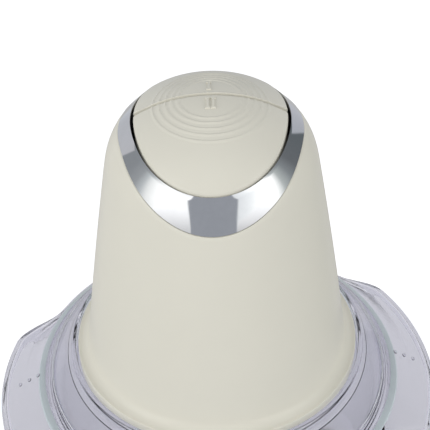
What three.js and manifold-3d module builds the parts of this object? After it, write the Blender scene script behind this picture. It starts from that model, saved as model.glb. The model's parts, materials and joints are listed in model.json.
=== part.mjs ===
// Food processor of the push-top kind: a clear bowl and lid with a motor unit that stands on the lid.
// Millimetres, +Z up. The origin is the middle of the underside and the front faces -Y.
import * as THREE from "three";
import { mergeVertices } from "three/addons/utils/BufferGeometryUtils.js";
import Module from "manifold-3d";

const wasm = await Module();
wasm.setup();

// ---------- driving dimensions ----------
const clearance = 0.3; // between pieces that touch
const roundSteps = 40; // facets round the large pieces
const smallSteps = 16; // facets round shafts, bosses and screws
const lidSteps = 72;

const baseTop = 4; // anti-slip base
const baseRim = 8;
const bowlFoot = baseTop + clearance;
const bowlFootRadius = 62;
const bowlRadius = 71.6;
const bowlWall = 2.6;
const bowlTop = 87.6;
const bowlFloor = 7.3;
const spindleRadius = 3;
const spindleTop = 46;
const bossTop = 22;
const hubRadius = 8.5;
const hubFoot = bossTop + 1;
const hexRadius = 5.4; // six-sided drive on top of the hub

const lidSkirtFoot = 76;
const lidRadius = 75.3;
const lidWall = 2.5;
const lidFloor = 103;
const lidHole = 11;
const collarRadius = 56.1; // inside of the collar that the motor unit stands in
const collarWall = 2.1;
const collarTop = 108.4;
const lidRim = 91; // height where the cone ends and the ears begin
const lidRimRadius = 73.8;
const spigotFoot = 83.1; // the lid's spigot goes inside the bowl
const earReach = 13.8; // how far the two grip ears stand out
const earDrop = 4.3; // how much lower an ear's outer edge lies than the skirt's
const earSag = 1.2;
const earHalfAngle = 39;
const earBlendAngle = 14;
const lidTurn = 9; // the lid is set on a little turned
const bumpPlaces = [73, 76.8, 80.7]; // finger bumps, from the axis
const bumpTurn = 3;
const bumpRadius = 0.9;

const flangeTop = 110; // top of the motor housing's foot flange
const flangeRadius = 55.2;
const footRadius = 51.1; // housing just above its flange
const waistRadius = 45.3; // housing at half the shoulder height
const shoulderRadius = 38.8;
const shoulderHeight = 85;
const crownHeight = 30.5; // from the shoulder to the top of the buttons
const shellWall = 2.6;

const buttonSplit = 1.5; // where the two buttons meet, behind the middle
const buttonTravel = 3;
const buttonWall = 2.2;
const plungerTravel = 1.2;
const stemRadius = 2.4;
const stemPlace = 13;
const switchPlace = 14;
const deckHeight = 83.5; // heights from here on count from the flange's top
const deckThickness = 2.5;

const toothModule = 0.9;
const sunTeeth = 12;
const planetTeeth = 18;
const ringTeeth = sunTeeth + 2 * planetTeeth;
const planetCount = 3;
const gearFoot = 2.4;
const gearTop = 10.2;
const shaftRadius = 2;
const shaftTop = 75;
const pinRadius = 2; // pins that the planet gears turn on

const armatureRadius = 15.2;
const stackFoot = 28;
const stackTop = 54;
const statorRadius = 30;
const boltPlace = 26;
const bracketHeight = 68;
const legPlace = 31; // legs that carry the motor plate
const legTurns = [30, 150, 270];

// ---------- materials ----------
function finish(color, roughness, metalness) {
  return new THREE.MeshStandardMaterial({ color, roughness, metalness });
}
const cream = finish(0xdedcd0, 0.3, 0);
const chrome = finish(0xd5d8dd, 0.06, 1);
const clear = finish(0xc3c4d0, 0.08, 0);
clear.transparent = true;
clear.opacity = 0.4;
const blackPlastic = finish(0x1b1c1e, 0.5, 0);
const greyPlastic = finish(0xa9abad, 0.5, 0);
const whitePlastic = finish(0xe8e8e2, 0.45, 0);
const rubber = finish(0xd8d6cc, 0.8, 0);
const steel = finish(0xb9bcc0, 0.25, 1);
const electricalSteel = finish(0x6f7276, 0.45, 1);
const copper = finish(0xb36b3a, 0.35, 1);
const bronze = finish(0xb08d57, 0.4, 1);
const carbon = finish(0x2a2a2c, 0.7, 0);

// ---------- shape helpers ----------
const part = new THREE.Group();
const radians = THREE.MathUtils.degToRad;

// A geometry with shared corners and no flat faces of zero area, turned to face outwards.
function closed(geometry) {
  const bare = new THREE.BufferGeometry();
  bare.setAttribute("position", geometry.getAttribute("position").clone());
  if (geometry.index) bare.setIndex(geometry.index.clone());
  const merged = mergeVertices(bare, 1e-3);
  const position = merged.attributes.position;
  const faces = [];
  let volume = 0;
  for (let i = 0; i < merged.index.count; i += 3) {
    const [a, b, c] = [0, 1, 2].map((k) => merged.index.getX(i + k));
    if (a === b || b === c || c === a) continue;
    faces.push(a, b, c);
    const [p, q, r] = [a, b, c].map((k) => new THREE.Vector3().fromBufferAttribute(position, k));
    volume += p.dot(q.cross(r));
  }
  if (volume < 0) faces.reverse();
  merged.setIndex(faces);
  return merged;
}

function add(name, geometry, material) {
  const mesh = new THREE.Mesh(closed(geometry), material);
  mesh.name = name;
  part.add(mesh);
  return mesh;
}

function solid(geometry) {
  const shape = closed(geometry);
  return new wasm.Manifold(
    new wasm.Mesh({
      numProp: 3,
      vertProperties: new Float32Array(shape.attributes.position.array),
      triVerts: new Uint32Array(shape.index.array),
    }),
  );
}

function fromSolid(made) {
  const mesh = made.getMesh();
  const geometry = new THREE.BufferGeometry();
  geometry.setAttribute("position", new THREE.BufferAttribute(mesh.vertProperties, 3));
  geometry.setIndex(new THREE.BufferAttribute(mesh.triVerts, 1));
  return geometry;
}

function joined(...geometries) {
  return fromSolid(geometries.map(solid).reduce((a, b) => a.add(b)));
}

function cut(geometry, ...tools) {
  return fromSolid(tools.map(solid).reduce((a, b) => a.subtract(b), solid(geometry)));
}

function kept(geometry, tool) {
  return fromSolid(solid(geometry).intersect(solid(tool)));
}

// A body swept round Z. sectionAt(angle) lists its [radius, height] corners, which start and end on
// the axis or close on themselves.
function swept(sectionAt, steps) {
  const positions = [];
  const faces = [];
  const rings = [];
  for (let i = 0; i < steps; i++) {
    const angle = (2 * Math.PI * i) / steps;
    rings.push(sectionAt(angle));
    for (const [r, z] of rings[i]) positions.push(r * Math.cos(angle), r * Math.sin(angle), z);
  }
  const count = rings[0].length;
  for (let i = 0; i < steps; i++) {
    for (let j = 0; j < count; j++) {
      const next = (i + 1) % steps;
      const [a, b] = [i * count + j, i * count + ((j + 1) % count)];
      const [c, d] = [next * count + ((j + 1) % count), next * count + j];
      faces.push(a, d, c, a, c, b);
    }
  }
  const geometry = new THREE.BufferGeometry();
  geometry.setAttribute("position", new THREE.Float32BufferAttribute(positions, 3));
  geometry.setIndex(faces);
  return geometry;
}

function turned(profile, steps = smallSteps) {
  return swept(() => profile, steps);
}

function rod(radius, foot, top, x = 0, y = 0, steps = smallSteps) {
  const shape = turned([[0, foot], [radius, foot], [radius, top], [0, top]], steps);
  return shape.translate(x, y, 0);
}

function tube(outer, inner, foot, top, steps = smallSteps) {
  return turned([[inner, foot], [outer, foot], [outer, top], [inner, top]], steps);
}

function block(lowX, highX, lowY, highY, foot, top) {
  const box = new THREE.BoxGeometry(highX - lowX, highY - lowY, top - foot);
  return box.translate((lowX + highX) / 2, (lowY + highY) / 2, (foot + top) / 2);
}

function plate(shape, foot, top, curveSegments = 12) {
  const settings = { depth: top - foot, bevelEnabled: false, curveSegments };
  return new THREE.ExtrudeGeometry(shape, settings).translate(0, 0, foot);
}

function polar(radius, angle) {
  return [radius * Math.cos(angle), radius * Math.sin(angle)];
}

function smooth(t) {
  const s = Math.min(1, Math.max(0, t));
  return s * s * (3 - 2 * s);
}

function mix(a, b, t) {
  return [a[0] + (b[0] - a[0]) * t, a[1] + (b[1] - a[1]) * t];
}

// Heights inside the motor unit count from the top of its flange.
function above(height) {
  return flangeTop + height;
}

// ---------- the motor unit's outline ----------
const shoulderSlope = (footRadius - 4 * waistRadius + 3 * shoulderRadius) / shoulderHeight;

function radiusAt(height) {
  if (height <= shoulderHeight) {
    const t = height / shoulderHeight;
    const foot = footRadius * (1 - t) * (1 - 2 * t);
    return foot + 4 * waistRadius * t * (1 - t) + shoulderRadius * t * (2 * t - 1);
  }
  const u = Math.min(1, (height - shoulderHeight) / crownHeight);
  return shoulderRadius * Math.sqrt(1 - u * u) + shoulderSlope * crownHeight * u * (1 - u) ** 4;
}

function crownAt(radius) {
  return shoulderHeight + crownHeight * Math.sqrt(Math.max(0, 1 - (radius / shoulderRadius) ** 2));
}

// The chrome ring dips deeply at the front and a little at the back.
function dipped(side, front, frontPower, back, angle) {
  const s = -Math.sin(angle);
  return s > 0 ? side - front * s ** frontPower : side - back * s * s;
}

function ringFoot(angle) {
  return dipped(101.1, 16.6, 3, 4.8, angle);
}

function ringTop(angle) {
  return dipped(106.1, 7.5, 2.7, 3.8, angle);
}

// ---------- bowl ----------
function makeBowl() {
  const wallFoot = 20;
  const outer = [
    [0, bowlFoot],
    [bowlFootRadius - 2, bowlFoot],
    [bowlFootRadius, bowlFoot + 2],
    [bowlFootRadius, 10],
    [63.2, 13],
    [65, 16.5],
    [66.5, wallFoot],
    [bowlRadius, bowlTop - 4.5],
    [bowlRadius, bowlTop],
  ];
  const inner = [
    [bowlRadius - bowlWall, bowlTop],
    [bowlRadius - bowlWall, bowlTop - 4.5],
    [66.5 - bowlWall, wallFoot],
    [62, 14.5],
    [59, 10.5],
    [55, 8.2],
    [50, bowlFloor],
    [12, bowlFloor],
    [9.5, bowlFloor + 1.2],
    [7.5, bossTop],
    [spindleRadius + clearance, bossTop],
    [spindleRadius + clearance, 10],
    [0, 10],
  ];
  add("bowl", turned([...outer, ...inner], roundSteps), clear);
  add("spindle_pin", rod(spindleRadius, 10 + clearance, spindleTop), steel);
}

function makeAntiSlipBase() {
  const rimOutside = bowlFootRadius + 2.4;
  const rimInside = bowlFootRadius + 0.4;
  const profile = [
    [0, 0],
    [rimOutside - 1, 0],
    [rimOutside, 1],
    [rimOutside, baseRim],
    [rimInside, baseRim],
    [rimInside, baseTop],
    [0, baseTop],
  ];
  add("anti_slip_base", turned(profile, roundSteps), rubber);
}

// ---------- blade unit ----------
function makeBladeHub() {
  const bore = spindleRadius + 0.35;
  const body = turned([
    [0, spindleTop + 2],
    [bore, spindleTop + 2],
    [bore, hubFoot],
    [hubRadius, hubFoot],
    [hubRadius, 94],
    [hubRadius - 1.5, 98],
    [0, 98],
  ], 32);
  const drive = rod(hexRadius, 97, above(-2.9), 0, 0, 6);
  add("blade_hub", joined(body, drive), whitePlastic);
}

// A blade is a curved steel wing on a ring that goes round the hub.
function bladeShape(reach) {
  const root = 12;
  const wing = new THREE.Shape();
  wing.moveTo(-7, 8);
  wing.quadraticCurveTo(-10, reach * 0.5, 2, reach);
  wing.quadraticCurveTo(6, reach * 0.62, 9, 8);
  wing.closePath();
  const disc = new THREE.Shape();
  disc.absarc(0, 0, root, 0, 2 * Math.PI);
  return [wing, disc];
}

function makeBlade(name, foot, reach, turn) {
  const thickness = 1.2;
  const shapes = bladeShape(reach).map((shape) => plate(shape, foot, foot + thickness));
  const hole = rod(hubRadius + clearance, foot - 1, foot + thickness + 1, 0, 0, 32);
  add(name, cut(joined(...shapes), hole).rotateZ(turn), steel);
}

// ---------- lid ----------
function earAt(angle) {
  const away = Math.abs(Math.asin(Math.sin(angle - radians(lidTurn))));
  return smooth((radians(earHalfAngle) - away) / radians(earBlendAngle));
}

function lidSection(angle) {
  const ear = earAt(angle);
  const reach = lidRadius + earReach * ear;
  const earTop = lidRim - 2.9 - earDrop * ear;
  const rim = [lidRimRadius, lidRim];
  const earEdge = [reach - 0.8, earTop - 0.2];
  const under = [lidRimRadius - 1.2, lidRim - 0.8];
  const earUnder = [reach - lidWall, earTop - 2.6];
  const sag = earSag * ear;
  const middle = mix(rim, earEdge, 0.5);
  const middleUnder = mix(under, earUnder, 0.5);
  const collarOutside = collarRadius + collarWall;
  return [
    [reach, lidSkirtFoot],
    [reach, earTop - 2],
    earEdge,
    [middle[0], middle[1] - sag],
    rim,
    [66.5, 96.6],
    [59.4, 105.8],
    [collarOutside, collarTop],
    [collarRadius, collarTop],
    [collarRadius, lidFloor],
    [lidHole, lidFloor],
    [lidHole, lidFloor - 2.6],
    [collarOutside, lidFloor - 2.6],
    [collarOutside, 102.6],
    [66.2, 94.2],
    [66.2, spigotFoot],
    [68.4, spigotFoot],
    [68.4, under[1]],
    under,
    [middleUnder[0], middleUnder[1] - sag],
    earUnder,
    [reach - lidWall, lidSkirtFoot],
  ];
}

// Three little bumps in a row on each ear, for the fingers.
function gripBumps() {
  const bumps = [];
  const slope = (earDrop + 3.1) / (lidRadius + earReach - 0.8 - lidRimRadius);
  for (const side of [0, Math.PI]) {
    for (const radius of bumpPlaces) {
      const bump = new THREE.SphereGeometry(bumpRadius, 8, 6);
      const height = lidRim - slope * (radius - lidRimRadius) - bumpRadius + 0.2;
      bumps.push(bump.translate(...polar(radius, side + radians(bumpTurn)), height));
    }
  }
  return bumps;
}

function makeLid() {
  add("lid", joined(swept(lidSection, lidSteps), ...gripBumps()), clear);
  const sealTop = lidRim - 1.1;
  add("lid_seal", tube(72.4, 68.8, bowlTop + clearance, sealTop, roundSteps), rubber);
}

// ---------- motor unit: shell, ring, base ----------
function housingSection(angle) {
  const top = ringFoot(angle);
  const cove = 4;
  const risers = 7;
  const coveRadius = radiusAt(cove) + cove;
  const points = [
    [flangeRadius - shellWall, -5.5],
    [flangeRadius, -5.5],
    [flangeRadius, -0.5],
    [flangeRadius - 0.5, 0],
  ];
  for (let i = 0; i <= 3; i++) {
    const turn = Math.PI / 2 + (i / 3) * (Math.PI / 2);
    points.push([coveRadius + cove * Math.cos(turn), cove - cove * Math.sin(turn)]);
  }
  for (let i = 1; i <= risers; i++) {
    const height = cove + ((top - cove) * i) / risers;
    points.push([radiusAt(height), height]);
  }
  for (let i = risers; i >= 0; i--) {
    const height = cove + ((top - 0.5 - cove) * i) / risers;
    points.push([radiusAt(height) - shellWall, height]);
  }
  const sill = radiusAt(cove) - shellWall;
  points.push([sill, -1.8], [flangeRadius - shellWall, -1.8]);
  return points.map(([r, h]) => [r, above(h)]);
}

const baseScrewAngles = [45, 135, 225, 315].map(radians);
const baseScrewPlace = 45.4;
const deckScrewPlaces = [24.5, -29]; // along Y
const webReach = 38.1; // the deck bosses' webs end inside the housing's wall
const pilotRadius = 1.75;
const glandHeight = 13;
const glandRadius = 5.5;

function makeHousing() {
  const bosses = [];
  const pilots = [];
  for (const angle of baseScrewAngles) {
    const [x, y] = polar(baseScrewPlace, angle);
    bosses.push(rod(3.6, above(-1.8), above(14), x, y));
    pilots.push(rod(pilotRadius, above(-3), above(11), x, y, 12));
  }
  const deckBossTop = above(deckHeight - clearance);
  for (const y of deckScrewPlaces) {
    const [low, high] = y > 0 ? [y, webReach] : [-webReach, y];
    bosses.push(rod(3, above(60), deckBossTop, 0, y));
    bosses.push(block(-1, 1, low, high, above(60), deckBossTop));
    pilots.push(rod(pilotRadius, above(66), deckBossTop + 1, 0, y, 12));
  }
  // Air slots and the cord's gland are at the back.
  const cuts = [];
  for (let i = -2; i <= 2; i++) {
    cuts.push(block(i * 5.4 - 1.2, i * 5.4 + 1.2, 30, 60, above(26), above(46)));
  }
  const socket = rod(glandRadius + clearance, 30, 60, 0, 0, 24);
  cuts.push(socket.rotateX(-Math.PI / 2).translate(0, 0, above(glandHeight)));
  const shell = swept(housingSection, roundSteps);
  add("housing", cut(joined(shell, ...bosses), ...pilots, ...cuts), cream);
}

function ringSection(angle) {
  const [foot, top] = [ringFoot(angle) + clearance, ringTop(angle)];
  const [outer, inner] = [radiusAt(foot), radiusAt(top)];
  const bulge = 0.4 * (radiusAt((foot + top) / 2) - (outer + inner) / 2);
  return [
    [outer - 1.4, foot],
    [outer, foot],
    [(outer + inner) / 2 + bulge, (foot + top) / 2],
    [inner, top],
    [inner - 0.3, top - 0.4],
    [inner - 0.3, top - 1.6],
  ].map(([r, h]) => [r, above(h)]);
}

// The dark frame that carries the ring and lines the gap round the buttons.
function bezelSection(angle) {
  const [foot, top] = [ringFoot(angle) + clearance, ringTop(angle)];
  const [outer, inner] = [radiusAt(foot) - 1.4, radiusAt(top) - 0.3];
  const width = 1.5;
  const slope = (foot - (top - 1.6)) / (outer - inner);
  const innerTop = top - 1.6 - 0.9;
  return [
    [inner, deckHeight + deckThickness + clearance],
    [inner + width, deckHeight + deckThickness + clearance],
    [inner + width, innerTop + slope * width],
    [inner, innerTop],
  ].map(([r, h]) => [r, above(h)]);
}

function makeRing() {
  add("chrome_ring", swept(ringSection, roundSteps), chrome);
  add("button_bezel", swept(bezelSection, roundSteps), blackPlastic);
}

function makeBasePlate() {
  const foot = above(-6.7);
  const top = above(-2.1);
  const tools = [];
  for (const angle of baseScrewAngles) {
    const [x, y] = polar(baseScrewPlace, angle);
    tools.push(rod(pilotRadius, foot - 1, top + 1, x, y, 12), rod(3.4, foot - 1, foot + 2.2, x, y));
  }
  for (const angle of legTurns.map(radians)) {
    const [x, y] = polar(legPlace, angle);
    tools.push(rod(pilotRadius, foot - 1, top + 1, x, y, 12), rod(3.4, foot - 1, foot + 2.2, x, y));
  }
  for (let i = 0; i < 12; i++) {
    const slot = block(35, 41, -1.5, 1.5, foot - 1, top + 1);
    tools.push(slot.rotateZ(radians(15 + 30 * i)));
  }
  const disc = tube(flangeRadius - shellWall - clearance, 12.5, foot, top, roundSteps);
  add("base_plate", cut(disc, ...tools), greyPlastic);
}

function makeCordGland() {
  const profile = [
    [2.2, 44.5],
    [glandRadius, 44.5],
    [glandRadius, 52.5],
    [glandRadius + 1.5, 52.5],
    [glandRadius + 1.5, 54],
    [4.2, 59],
    [2.2, 59],
  ];
  const gland = turned(profile, 24);
  add("cord_gland", gland.rotateX(-Math.PI / 2).translate(0, 0, above(glandHeight)), blackPlastic);
}

// ---------- screws ----------
function makeScrew(name, x, y, headFoot, length, upwards) {
  const headHeight = 1.8;
  const shape = joined(
    rod(2.9, 0, headHeight, 0, 0, 16),
    rod(1.5, headHeight - 0.2, headHeight + length, 0, 0, 12),
  );
  const slot = block(-2, 2, -0.4, 0.4, -1, 0.8);
  const screw = cut(shape, slot);
  if (!upwards) screw.rotateX(Math.PI);
  add(name, screw.translate(x, y, headFoot), steel);
}

function makeScrews() {
  baseScrewAngles.forEach((angle, i) => {
    const [x, y] = polar(baseScrewPlace, angle);
    makeScrew(`base_screw_${i + 1}`, x, y, above(-6.6), 14, true);
  });
  legTurns.map(radians).forEach((angle, i) => {
    const [x, y] = polar(legPlace, angle);
    makeScrew(`frame_screw_${i + 1}`, x, y, above(-6.6), 12, true);
  });
  deckScrewPlaces.forEach((y, i) => {
    const headTop = above(deckHeight + deckThickness + clearance + 1.8);
    makeScrew(`deck_screw_${i + 1}`, 0, y, headTop, 14, false);
  });
  [-1, 1].forEach((side, i) => {
    const headTop = above(bracketHeight + 2.5 + clearance + 1.8);
    makeScrew(`motor_bolt_${i + 1}`, side * boltPlace, 0, headTop, 54.5, false);
  });
}

// ---------- buttons and switches ----------
function buttonRim(angle) {
  return radiusAt(ringTop(angle)) - 0.7 - 0.4 * Math.cos(angle) ** 2;
}

function capSection(angle) {
  const rim = buttonRim(angle);
  const rings = 7;
  const points = [];
  for (let i = rings; i >= 0; i--) {
    const radius = ((rim - 1.8) * i) / rings;
    points.push([radius, crownAt(radius) - buttonWall]);
  }
  points.reverse();
  const skirt = crownAt(rim) - 6.5;
  points.push([rim - 1.8, skirt], [rim, skirt], [rim, crownAt(rim) - 0.3]);
  for (let i = rings; i >= 0; i--) {
    const radius = ((rim - 0.5) * i) / rings;
    points.push([radius, crownAt(radius)]);
  }
  return points.map(([r, h]) => [r, above(h)]);
}

function makeButton(number, side) {
  const edge = buttonSplit + (side * 0.5) / 2;
  const reach = 60;
  const [low, high] = side > 0 ? [edge, reach] : [-reach, edge];
  const half = block(-reach, reach, low, high, above(60), above(140));
  const y = side * stemPlace;
  const shoulder = 4.4; // the thick top of the stem, which the spring pushes on
  const underside = crownAt(stemPlace + shoulder) - buttonWall / 2;
  const stem = joined(
    rod(stemRadius, above(79), above(102), 0, y),
    rod(shoulder, above(100), above(underside), 0, y),
  );
  const ribTop = crownAt(Math.hypot(switchPlace, switchPlace + 1)) - 0.8;
  const ribFoot = 96.4 + plungerTravel + 1;
  const rib = block(switchPlace - 1, switchPlace + 1, -1, 1, above(ribFoot), above(ribTop));
  rib.translate(0, side * switchPlace, 0);
  const cap = kept(swept(capSection, roundSteps), half);
  add(`button_${number}`, joined(cap, stem, rib), cream);
}

// A return spring round each stem, between the deck and the stem's shoulder.
function makeSpring(number, side) {
  const foot = above(deckHeight + deckThickness + 0.9);
  const top = above(99.1);
  const coils = 5;
  const radius = 3.6;
  const path = new THREE.CatmullRomCurve3(
    Array.from({ length: coils * 8 + 1 }, (unused, i) => {
      const turn = (2 * Math.PI * i) / 8;
      const height = foot + ((top - foot) * i) / (coils * 8);
      return new THREE.Vector3(radius * Math.cos(turn), radius * Math.sin(turn), height);
    }),
  );
  const wire = new THREE.Shape();
  wire.absarc(0, 0, 0.45, 0, 2 * Math.PI);
  const settings = { steps: coils * 10, extrudePath: path, bevelEnabled: false, curveSegments: 3 };
  const spring = new THREE.ExtrudeGeometry(wire, settings);
  add(`return_spring_${number}`, spring.translate(0, side * stemPlace, 0), steel);
}

function makeSwitch(number, side) {
  const deck = above(deckHeight + deckThickness + clearance);
  const y = side * switchPlace;
  const body = block(switchPlace - 3.2, switchPlace + 3.2, y - 8, y + 8, deck, above(94.8));
  const well = block(switchPlace - 1.3, switchPlace + 1.3, y - 1.8, y + 1.8, above(92.4), above(96));
  add(`microswitch_${number}`, cut(body, well), blackPlastic);
  const plunger = block(switchPlace - 1, switchPlace + 1, y - 1.5, y + 1.5, above(94), above(96.4));
  add(`switch_plunger_${number}`, plunger, whitePlastic);
}

function makeSwitchDeck() {
  const [foot, top] = [above(deckHeight), above(deckHeight + deckThickness)];
  const holes = [];
  for (const y of deckScrewPlaces) holes.push(rod(pilotRadius, foot - 1, top + 1, 0, y, 12));
  for (const side of [-1, 1]) {
    holes.push(rod(stemRadius + 0.25, foot - 6, top + 1, 0, side * stemPlace));
  }
  const guides = [-1, 1].map((side) => rod(4.4, foot - 4, foot + 1, 0, side * stemPlace));
  add("switch_deck", cut(joined(rod(35.4, foot, top, 0, 0, roundSteps), ...guides), ...holes), greyPlastic);
}

// ---------- gears ----------
// One tooth has four corners: it narrows from root to tip and is a little thin, for backlash.
function gearOutline(teeth, rootRadius, tipRadius, rootShare, tipShare, phase) {
  const points = [];
  const pitch = (2 * Math.PI) / teeth;
  for (let i = 0; i < teeth; i++) {
    const middle = phase + i * pitch;
    const corners = [
      [rootRadius, -rootShare / 2],
      [tipRadius, -tipShare / 2],
      [tipRadius, tipShare / 2],
      [rootRadius, rootShare / 2],
    ];
    for (const [radius, share] of corners) {
      points.push(new THREE.Vector2(...polar(radius, middle + share * pitch)));
    }
  }
  return points;
}

function roundHole(radius, steps = 16) {
  return new THREE.Path(
    Array.from({ length: steps }, (unused, i) => {
      return new THREE.Vector2(...polar(radius, (-2 * Math.PI * i) / steps));
    }),
  );
}

function pitchRadius(teeth) {
  return (teeth * toothModule) / 2;
}

function outerGear(teeth, bore, phase, foot, top) {
  const pitch = pitchRadius(teeth);
  const points = gearOutline(teeth, pitch - 1.2 * toothModule, pitch + 0.9 * toothModule, 0.62, 0.2, phase);
  const shape = new THREE.Shape(points);
  shape.holes.push(roundHole(bore));
  return plate(shape, foot, top);
}

function makeGears() {
  const [foot, top] = [above(gearFoot), above(gearTop)];
  add("sun_pinion", outerGear(sunTeeth, shaftRadius + 0.15, 0, foot, top), steel);
  const orbit = pitchRadius(sunTeeth) + pitchRadius(planetTeeth);
  for (let i = 0; i < planetCount; i++) {
    const angle = (2 * Math.PI * i) / planetCount;
    const gear = outerGear(planetTeeth, pinRadius + 0.25, Math.PI / planetTeeth, foot, top);
    gear.rotateZ(angle).translate(...polar(orbit, angle), 0);
    add(`planet_gear_${i + 1}`, gear, whitePlastic);
  }
  // The gear case is the toothed ring: its teeth point inwards.
  const pitch = pitchRadius(ringTeeth);
  const inside = gearOutline(ringTeeth, pitch + 1.2 * toothModule, pitch - 0.9 * toothModule, 0.62, 0.2, 0);
  const shape = new THREE.Shape();
  shape.absarc(0, 0, 25.5, 0, 2 * Math.PI);
  shape.holes.push(new THREE.Path(inside.reverse()));
  add("gear_case", plate(shape, above(-1.8), above(11.7), 24), whitePlastic);
}

function makeCarrier() {
  const orbit = pitchRadius(sunTeeth) + pitchRadius(planetTeeth);
  const pins = [];
  for (let i = 0; i < planetCount; i++) {
    const angle = (2 * Math.PI * i) / planetCount;
    pins.push(rod(pinRadius, above(1), above(gearTop + 0.6), ...polar(orbit, angle), 16));
  }
  add("planet_carrier", joined(rod(18.6, above(-1.2), above(2), 0, 0, 48), ...pins), steel);
  // The drive socket hangs under the carrier and takes the six-sided top of the blade hub.
  const socket = rod(hexRadius + 0.5, above(-8), above(-2.6), 0, 0, 6);
  const body = rod(9.6, above(-6.4), above(-1.5), 0, 0, 32);
  add("drive_coupling", cut(body, socket), blackPlastic);
}

// ---------- motor ----------
function makeMotorPlate() {
  const [foot, top] = [above(12), above(14.5)];
  const legs = [];
  const pilots = [];
  for (const angle of legTurns.map(radians)) {
    const [x, y] = polar(legPlace, angle);
    legs.push(rod(3.4, above(-1.8), top - 0.5, x, y));
    pilots.push(rod(pilotRadius, above(-3), above(9), x, y, 12));
  }
  for (const side of [-1, 1]) {
    pilots.push(rod(pilotRadius, foot - 1, top + 1, side * boltPlace, 0, 12));
  }
  const disc = tube(34, 6.3, foot, top, 48);
  add("motor_plate", cut(joined(disc, ...legs), ...pilots), greyPlastic);
  add("lower_bush", tube(6, shaftRadius + 0.15, above(11.2), above(16)), bronze);
}

function makeUpperBracket() {
  const [foot, top] = [above(bracketHeight), above(bracketHeight + 2.5)];
  const shape = joined(
    block(-29.5, 29.5, -8, 8, foot, top),
    rod(12, foot, top, 0, 0, 24),
    block(-29.5, -25.5, -6, -2.6, above(stackTop + clearance), foot + 1),
    block(25.5, 29.5, -6, -2.6, above(stackTop + clearance), foot + 1),
  );
  const holes = [rod(5.8, foot - 1, top + 1)];
  for (const side of [-1, 1]) holes.push(rod(pilotRadius, foot - 1, top + 1, side * boltPlace, 0, 12));
  add("upper_bracket", cut(shape, ...holes), steel);
  add("upper_bush", tube(5.5, shaftRadius + 0.15, above(67), above(73)), bronze);
}

// Two poles face the armature, and a coil goes round each of them.
function makeStator() {
  const bore = armatureRadius + 0.7;
  const window = tube(24, bore, above(stackFoot - 1), above(stackTop + 1), 48);
  const polesFoot = above(stackFoot - 2);
  const polesTop = above(stackTop + 2);
  const poles = joined(
    block(-8, 8, -26, 26, polesFoot, polesTop),
    kept(tube(19, bore - 1, polesFoot, polesTop, 48), block(-14, 14, -26, 26, polesFoot, polesTop)),
  );
  const space = cut(window, poles);
  const disc = tube(statorRadius, bore, above(stackFoot), above(stackTop), 48);
  const holes = [-1, 1].map((side) => {
    return rod(1.9, above(stackFoot - 1), above(stackTop + 1), side * boltPlace, 0, 12);
  });
  add("stator_core", cut(disc, space, ...holes), electricalSteel);
  ["rear", "front"].forEach((name, i) => {
    const side = i === 0 ? 1 : -1;
    const low = 19.4;
    const high = 23.4;
    const outer = block(-12, 12, low, high, above(stackFoot - 3.4), above(stackTop + 3.4));
    const inner = block(-8.4, 8.4, low - 1, high + 1, above(stackFoot - 0.4), above(stackTop + 0.4));
    const room = tube(40, 23.6, above(0), above(80), 48);
    const coil = cut(outer, inner, room);
    if (side < 0) coil.rotateZ(Math.PI);
    add(`field_coil_${name}`, coil, copper);
  });
}

function makeArmature() {
  const slots = 12;
  const core = new THREE.Shape(
    gearOutline(slots, 8, armatureRadius, 0.34, 0.78, 0),
  );
  core.holes.push(roundHole(shaftRadius + 0.15));
  add("armature_core", plate(core, above(stackFoot), above(stackTop)), electricalSteel);
  const bars = [];
  for (let i = 0; i < slots; i++) {
    const bar = block(9, 12.6, -0.9, 0.9, above(stackFoot - 2), above(stackTop + 2));
    bars.push(bar.rotateZ((2 * Math.PI * (i + 0.5)) / slots));
  }
  const lowerEnd = tube(13.6, 6, above(stackFoot - 3.4), above(stackFoot - clearance), 24);
  const upperEnd = tube(13.6, 6, above(stackTop + clearance), above(stackTop + 3.4), 24);
  add("armature_winding", joined(lowerEnd, upperEnd, ...bars), copper);
}

function makeRotor() {
  add("motor_shaft", rod(shaftRadius, above(gearFoot + 0.2), above(shaftTop)), steel);
  makeArmature();
  const commutator = turned([
    [shaftRadius + 0.15, above(58.4)],
    [9, above(58.4)],
    [9, above(60)],
    [7.6, above(60)],
    [7.6, above(66.4)],
    [shaftRadius + 0.15, above(66.4)],
  ], 24);
  const grooves = [];
  for (let i = 0; i < 12; i++) {
    const groove = block(7, 10, -0.2, 0.2, above(58), above(67));
    grooves.push(groove.rotateZ(radians(30 * i)));
  }
  add("commutator", cut(commutator, ...grooves), copper);
  const vanes = [];
  for (let i = 0; i < 9; i++) {
    const vane = block(6, 23.5, -0.6, 0.6, above(18.6), above(23.4));
    vanes.push(vane.rotateZ(radians(40 * i)));
  }
  const fanHub = tube(7, shaftRadius + 0.15, above(18), above(23.4), 24);
  const fanDisc = tube(23.5, 6, above(18), above(19.4), 36);
  add("cooling_fan", joined(fanHub, fanDisc, ...vanes), blackPlastic);
}

function makeBrushes() {
  [-1, 1].forEach((side, i) => {
    const holder = block(11, 20.5, -3.6, 3.6, above(60.2), above(bracketHeight - clearance));
    const channel = block(7, 19.4, -2.3, 2.3, above(61.6), above(65.4));
    const turn = side > 0 ? Math.PI / 2 : -Math.PI / 2;
    add(`brush_holder_${i + 1}`, cut(holder, channel).rotateZ(turn), bronze);
    const brush = block(7.9, 18.6, -2, 2, above(61.9), above(65.1));
    add(`brush_${i + 1}`, brush.rotateZ(turn), carbon);
  });
}

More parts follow.
